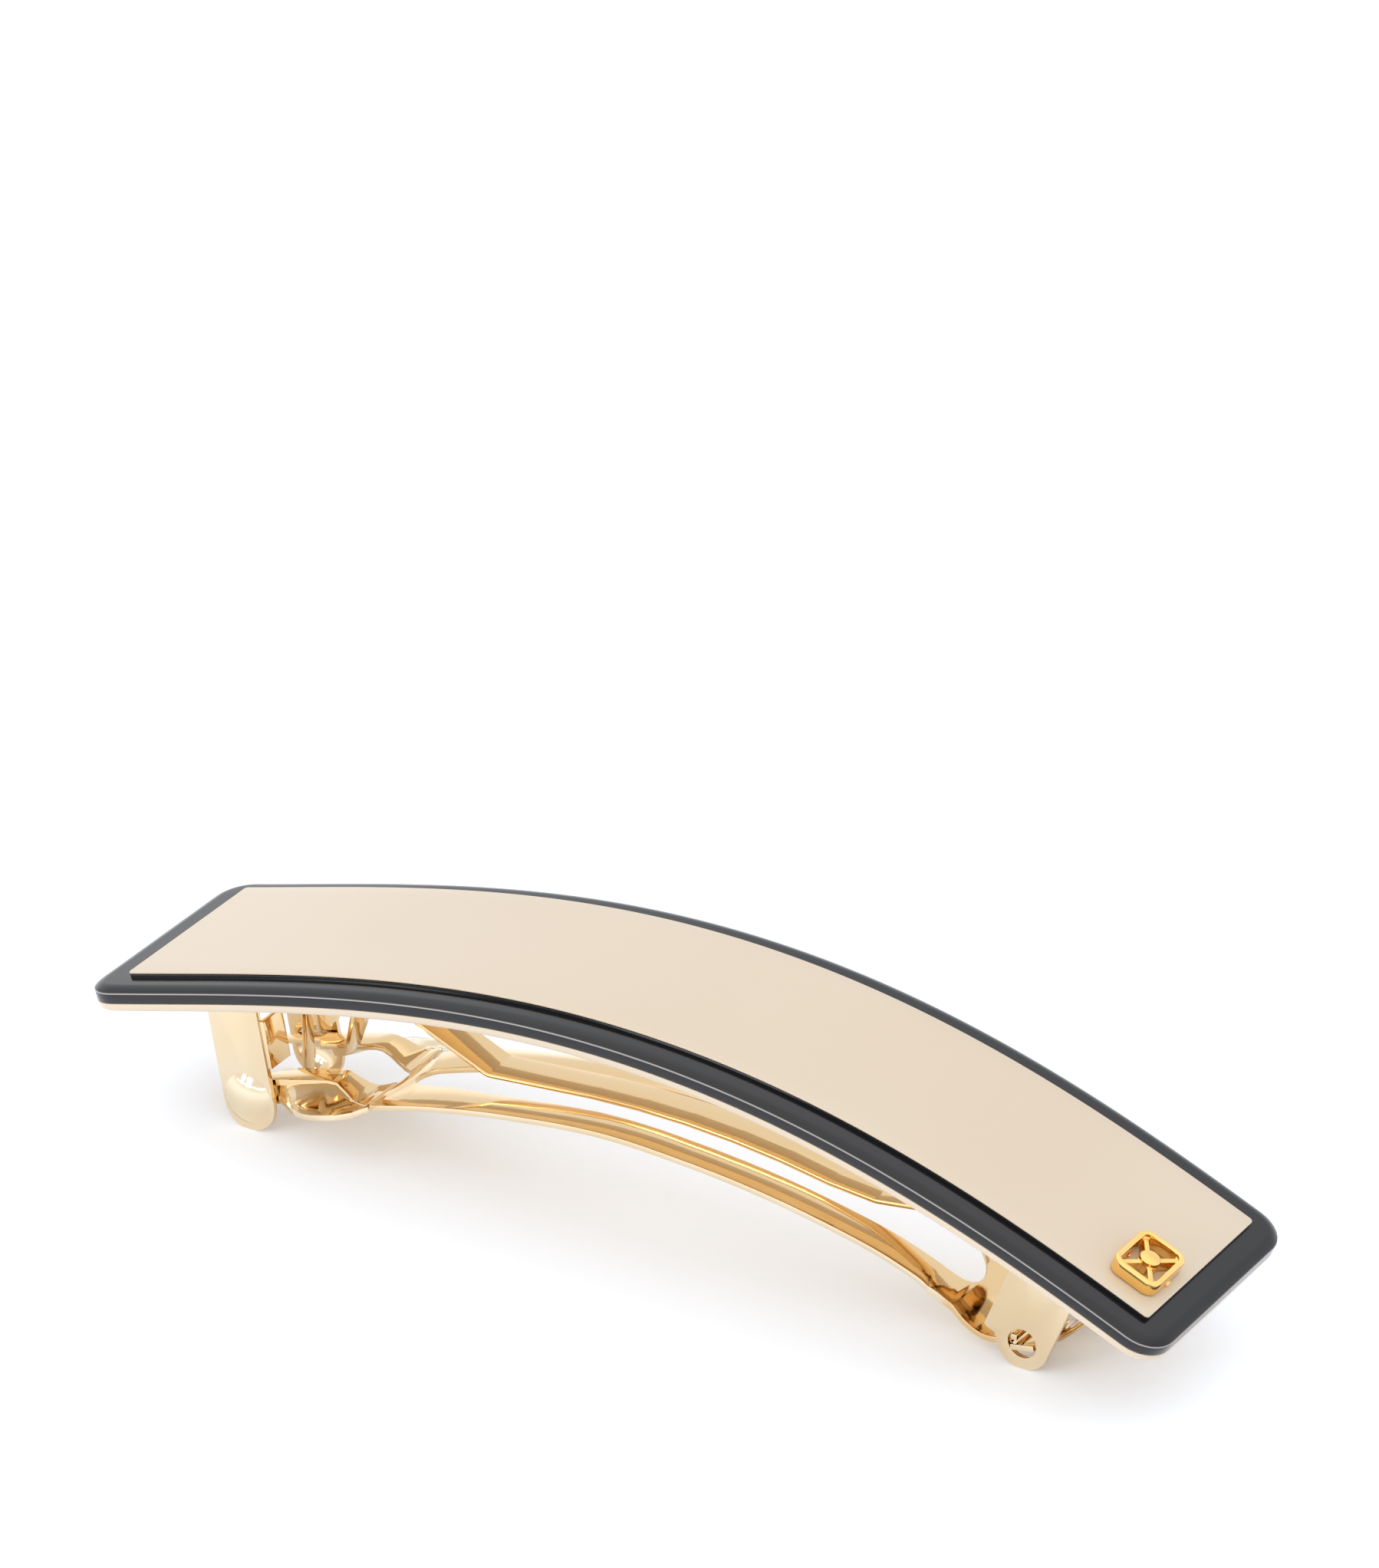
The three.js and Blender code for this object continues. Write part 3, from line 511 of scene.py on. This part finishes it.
def make_layers(cream, black):
    bow, middle = make_bow()
    tree = bend_tree()
    plate_top = -PANEL_THICKNESS - GLUE_LINE
    plate_rim = plate_top - PLATE_STEP
    plate_bottom = plate_rim - PLATE_THICKNESS
    backing_top = plate_bottom - GLUE_LINE
    backing_bottom = backing_top - BACKING_THICKNESS
    body = (ORNAMENT_LENGTH, ORNAMENT_WIDTH, ORNAMENT_CORNER)
    panel = (PANEL_LENGTH, PANEL_WIDTH, PANEL_CORNER)
    panel_edge = edge_levels(-PANEL_THICKNESS, 0, 0.02 * MM, 0.08 * MM, 4)
    plate_edge = plate_levels(plate_bottom, plate_rim)
    backing_edge = edge_levels(backing_bottom, backing_top, 0.55 * MM, 0.05 * MM, 6)
    step_edge = edge_levels(plate_rim - PLATE_THICKNESS / 2, plate_top, 0, 0.02 * MM, 2)
    step = new_object("step", layer_mesh("step", *panel, step_edge, PANEL_MIDDLE), black)
    layers = {
        "top_panel": (layer_mesh("panel", *panel, panel_edge, PANEL_MIDDLE), cream, "cream_acetate"),
        "black_plate": (layer_mesh("plate", *body, plate_edge), black, "black_acetate"),
        "backing_layer": (layer_mesh("backing", *body, backing_edge), cream, "cream_acetate"),
    }
    for node, (mesh, material, slot) in layers.items():
        flat = new_object("flat_" + node, mesh, material)
        if node == "black_plate":
            # The plate's own stock stands up under the panel as a low step.
            union = flat.modifiers.new("step", "BOOLEAN")
            union.operation = "UNION"
            union.solver = "EXACT"
            union.object = step
            flat = baked(flat, "flat_plate")
            # The top of the plate's wall gets a painted highlight line.
            mark_painted_highlight(flat.data, plate_bottom + PLATE_WALL)
        modifier = flat.modifiers.new("bend", "NODES")
        modifier.node_group = tree
        give_inputs(modifier, {"Bow": bow, "Middle Of Bow": middle, "Material": material})
        piece = baked(flat, "fine_" + node)
        crease(piece.data, math.radians(40))
        settle(piece, "ornament", slot, node)
    bpy.data.objects.remove(bow)
    bpy.data.objects.remove(step)


# ---- Stamped and cast metal, with broken edges ----

SHEET_BREAK = 0.06 * MM
BADGE_BREAK = 0.14 * MM


def broken_edges(node, material, width, segments):
    """A copy of a metal node with its edges broken, as tumbling leaves them."""
    bm = bmesh.new()
    bm.from_mesh(frame["nodes"][node].data)
    bmesh.ops.remove_doubles(bm, verts=bm.verts, dist=0.02 * MM)
    bmesh.ops.dissolve_degenerate(bm, edges=bm.edges, dist=0.01 * MM)
    bmesh.ops.dissolve_limit(bm, angle_limit=math.radians(0.6), verts=bm.verts, edges=bm.edges)
    for face in bm.faces:
        face.smooth = True
    mesh = bpy.data.meshes.new(node)
    bm.to_mesh(mesh)
    bm.free()
    piece = new_object("raw_" + node, mesh, material)
    bevel = piece.modifiers.new("edges", "BEVEL")
    bevel.width = width
    bevel.segments = segments
    bevel.limit_method = "ANGLE"
    bevel.angle_limit = math.radians(38)
    bevel.use_clamp_overlap = False
    piece = baked(piece, "fine_" + node)
    crease(piece.data, math.radians(24))
    return piece


def crease(mesh, angle):
    """Smooth shading that breaks at edges sharper than an angle."""
    bm = bmesh.new()
    bm.from_mesh(mesh)
    bmesh.ops.triangulate(bm, faces=[face for face in bm.faces if len(face.verts) > 4])
    for face in bm.faces:
        face.smooth = True
    for edge in bm.edges:
        edge.smooth = len(edge.link_faces) == 2 and edge.calc_face_angle(0) < angle
    bm.to_mesh(mesh)
    bm.free()


def make_metal(plate, cast):
    bodies = frame["record"]["behaviour"]["bodies"]
    sheet_nodes = ("base_strip", "clasp_arm", "tension_spring", "latch_prong_near", "latch_prong_far")
    rivets = ("base_rivet_1", "base_rivet_2")
    for node in sheet_nodes + rivets + ("badge",):
        body = next(name for name, members in bodies.items() if node in members)
        if node == "badge":
            settle(broken_edges(node, cast, BADGE_BREAK, 3), body, "badge_gold", node)
        else:
            settle(broken_edges(node, plate, SHEET_BREAK, 2), body, "gold_plate", node)


# ---- The whole piece ----

make_camera()
make_floor()
make_world()
make_lights()
cream_acetate = acetate("pressed_cream_acetate", "#d2c2ac", "#cfbea7", "#a9794f", 0.02, 0.3, 0.25)
# The black acetate's last colour is a painted highlight along the top of the plate's wall.
black_acetate = acetate("polished_black_acetate", "#17171a", "#131315", "#8a8683", 0.06, 0.1, 0.0, "#a39d98")
# The plating's last colour is a painted shade: a deeper gold between the ears.
gold_plate = make_plating("bright_gold_plate", "#ecdabc", "#e7d0aa", 0.08, "#e9c997")
badge_gold = make_plating("cast_badge_gold", "#ffde96", "#fed180", 0.12)
make_layers(cream_acetate, black_acetate)
make_metal(gold_plate, badge_gold)
bpy.context.scene.view_settings.view_transform = "Standard"
